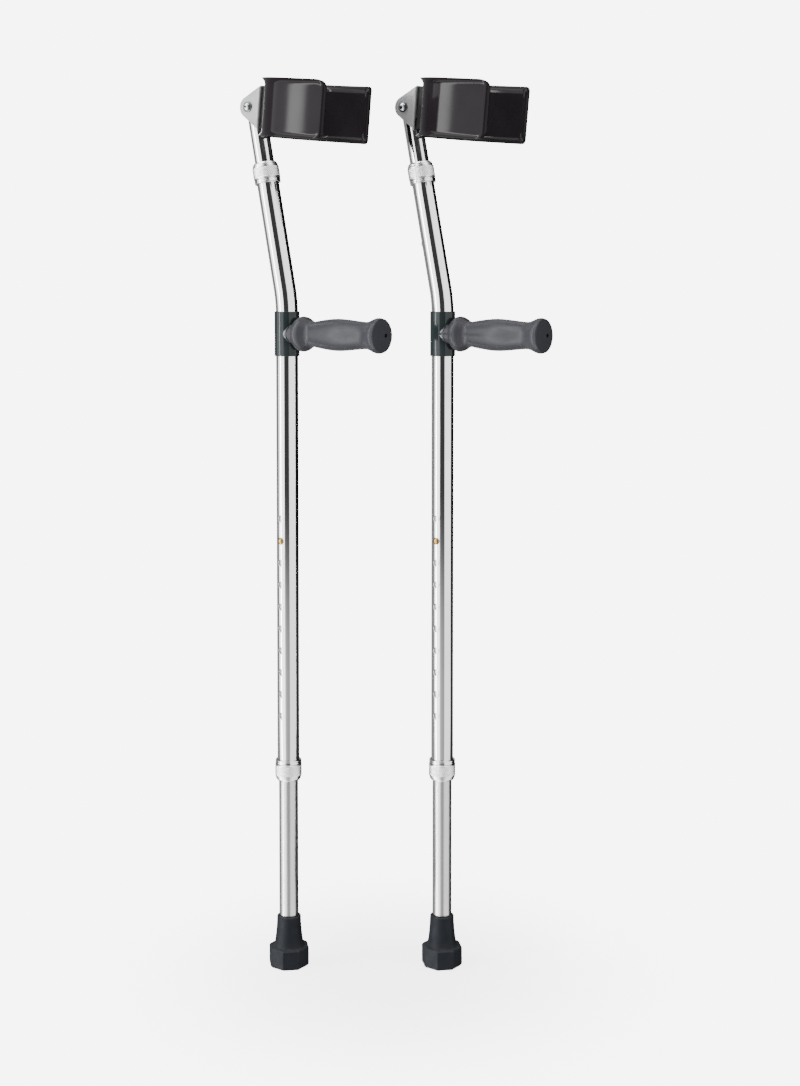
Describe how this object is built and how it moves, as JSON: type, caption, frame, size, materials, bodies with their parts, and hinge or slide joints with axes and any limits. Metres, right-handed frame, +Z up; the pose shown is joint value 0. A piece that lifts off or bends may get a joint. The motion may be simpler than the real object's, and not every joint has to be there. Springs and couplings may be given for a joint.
{
  "type": "pair of forearm crutches",
  "caption": "Pair of adjustable forearm crutches with hinged open arm cuffs, moulded handgrips, snap buttons, knurled lock nuts and rubber tips.",
  "frame": {"origin": "on the floor, at the bottom centre of the pair's bounding box, the two tips standing on z = 0", "axes": "+Z up the straight tubes; the handgrips and cuffs open towards -Y; the wearer's right-hand crutch is the one at -X"},
  "size_m": [0.2074, 0.3371, 1.0262],
  "materials": {
    "polished_tube": "polished",
    "satin_tube": "satin",
    "collar_metal": "knurled and machined",
    "bracket_steel": "bright zinc",
    "fastener_steel": "zinc plated",
    "brass": "domed and polished",
    "spring_steel": "blued",
    "painted_sleeve": "semi-gloss dark grey-green",
    "grip_vinyl": "soft moulded vinyl, mid grey",
    "cuff_vinyl": "glossy dipped vinyl over steel",
    "tip_rubber": "moulded, blue-black",
    "nylon": "natural nylon",
    "black_nylon": "black moulded"
  },
  "bodies": {
    "right_frame": {"right_main_tube": "polished_tube", "right_handgrip_bracket": "painted_sleeve", "right_handgrip": "grip_vinyl", "right_grip_washer": "fastener_steel", "right_upper_ferrule": "collar_metal", "right_upper_bushing": "black_nylon", "right_lower_ferrule": "collar_metal", "right_lower_bushing": "black_nylon"},
    "right_leg": {"right_leg_tube": "satin_tube", "right_leg_spring": "spring_steel", "right_tip": "tip_rubber", "right_tip_washer": "fastener_steel"},
    "right_leg_button": {"right_leg_button": "brass"},
    "right_forearm": {"right_forearm_tube": "polished_tube", "right_forearm_plug": "black_nylon", "right_forearm_spring": "spring_steel", "right_pivot_spacer_outer": "nylon", "right_pivot_spacer_inner": "nylon"},
    "right_forearm_button": {"right_forearm_button": "brass"},
    "right_cuff_assembly": {"right_cuff": "cuff_vinyl", "right_cuff_bracket": "bracket_steel", "right_cuff_spacer": "black_nylon", "right_cuff_rivet_upper": "fastener_steel", "right_cuff_rivet_lower": "fastener_steel", "right_pivot_bolt": "fastener_steel", "right_pivot_nut": "fastener_steel", "right_pivot_washer_outer": "fastener_steel", "right_pivot_washer_inner": "fastener_steel"},
    "right_upper_nut": {"right_upper_lock_nut": "collar_metal"},
    "right_lower_nut": {"right_lower_lock_nut": "collar_metal"},
    "left_frame": {"left_main_tube": "polished_tube", "left_handgrip_bracket": "painted_sleeve", "left_handgrip": "grip_vinyl", "left_grip_washer": "fastener_steel", "left_upper_ferrule": "collar_metal", "left_upper_bushing": "black_nylon", "left_lower_ferrule": "collar_metal", "left_lower_bushing": "black_nylon"},
    "left_leg": {"left_leg_tube": "satin_tube", "left_leg_spring": "spring_steel", "left_tip": "tip_rubber", "left_tip_washer": "fastener_steel"},
    "left_leg_button": {"left_leg_button": "brass"},
    "left_forearm": {"left_forearm_tube": "polished_tube", "left_forearm_plug": "black_nylon", "left_forearm_spring": "spring_steel", "left_pivot_spacer_outer": "nylon", "left_pivot_spacer_inner": "nylon"},
    "left_forearm_button": {"left_forearm_button": "brass"},
    "left_cuff_assembly": {"left_cuff": "cuff_vinyl", "left_cuff_bracket": "bracket_steel", "left_cuff_spacer": "black_nylon", "left_cuff_rivet_upper": "fastener_steel", "left_cuff_rivet_lower": "fastener_steel", "left_pivot_bolt": "fastener_steel", "left_pivot_nut": "fastener_steel", "left_pivot_washer_outer": "fastener_steel", "left_pivot_washer_inner": "fastener_steel"},
    "left_upper_nut": {"left_upper_lock_nut": "collar_metal"},
    "left_lower_nut": {"left_lower_lock_nut": "collar_metal"}
  },
  "joints": [
    {"name": "right_leg_slide", "type": "slide", "parent": "right_frame", "child": "right_leg", "axis": [0, 0, -1], "range_m": [-0.0254, 0.2032], "deforming": ["right_leg_button", "right_leg_spring"]},
    {"name": "right_leg_button_press", "type": "slide", "parent": "right_leg", "child": "right_leg_button", "axis": [1, 0, 0], "range_m": [0, 0.004], "stiffness_N_per_m": 1500, "springref_m": -0.001, "deforming": ["right_leg_spring"]},
    {"name": "right_forearm_slide", "type": "slide", "parent": "right_frame", "child": "right_forearm", "axis": [0, 0.1994, 0.9799], "range_m": [-0.0254, 0.0508], "deforming": ["right_forearm_button", "right_forearm_spring"]},
    {"name": "right_forearm_button_press", "type": "slide", "parent": "right_forearm", "child": "right_forearm_button", "axis": [0, -0.9799, 0.1994], "range_m": [0, 0.004], "stiffness_N_per_m": 1500, "springref_m": -0.001, "deforming": ["right_forearm_spring"]},
    {"name": "right_cuff_pivot", "type": "hinge", "parent": "right_forearm", "child": "right_cuff_assembly", "pos_m": [-0.0525, 0.15659, 0.99553], "axis": [-1, 0, 0], "range_deg": [0, 75]},
    {"name": "right_upper_nut_turn", "type": "hinge", "parent": "right_frame", "child": "right_upper_nut", "pos_m": [-0.0525, 0.14187, 0.92321], "axis": [0, 0.1994, 0.9799], "range_deg": [0, 180]},
    {"name": "right_lower_nut_turn", "type": "hinge", "parent": "right_frame", "child": "right_lower_nut", "pos_m": [-0.0525, 0.11121, 0.2285], "axis": [0, 0, -1], "range_deg": [0, 180]},
    {"name": "left_crutch_lift", "type": "slide", "parent": "right_frame", "child": "left_frame", "axis": [0, 0, 1], "range_m": [0, 0.3]},
    {"name": "left_leg_slide", "type": "slide", "parent": "left_frame", "child": "left_leg", "axis": [0, 0, -1], "range_m": [-0.0254, 0.2032], "deforming": ["left_leg_button", "left_leg_spring"]},
    {"name": "left_leg_button_press", "type": "slide", "parent": "left_leg", "child": "left_leg_button", "axis": [1, 0, 0], "range_m": [0, 0.004], "stiffness_N_per_m": 1500, "springref_m": -0.001, "deforming": ["left_leg_spring"]},
    {"name": "left_forearm_slide", "type": "slide", "parent": "left_frame", "child": "left_forearm", "axis": [0, 0.1994, 0.9799], "range_m": [-0.0254, 0.0508], "deforming": ["left_forearm_button", "left_forearm_spring"]},
    {"name": "left_forearm_button_press", "type": "slide", "parent": "left_forearm", "child": "left_forearm_button", "axis": [0, -0.9799, 0.1994], "range_m": [0, 0.004], "stiffness_N_per_m": 1500, "springref_m": -0.001, "deforming": ["left_forearm_spring"]},
    {"name": "left_cuff_pivot", "type": "hinge", "parent": "left_forearm", "child": "left_cuff_assembly", "pos_m": [0.0525, 0.01259, 0.99553], "axis": [-1, 0, 0], "range_deg": [0, 75]},
    {"name": "left_upper_nut_turn", "type": "hinge", "parent": "left_frame", "child": "left_upper_nut", "pos_m": [0.0525, -0.00213, 0.92321], "axis": [0, 0.1994, 0.9799], "range_deg": [0, 180]},
    {"name": "left_lower_nut_turn", "type": "hinge", "parent": "left_frame", "child": "left_lower_nut", "pos_m": [0.0525, -0.03279, 0.2285], "axis": [0, 0, -1], "range_deg": [0, 180]}
  ]
}
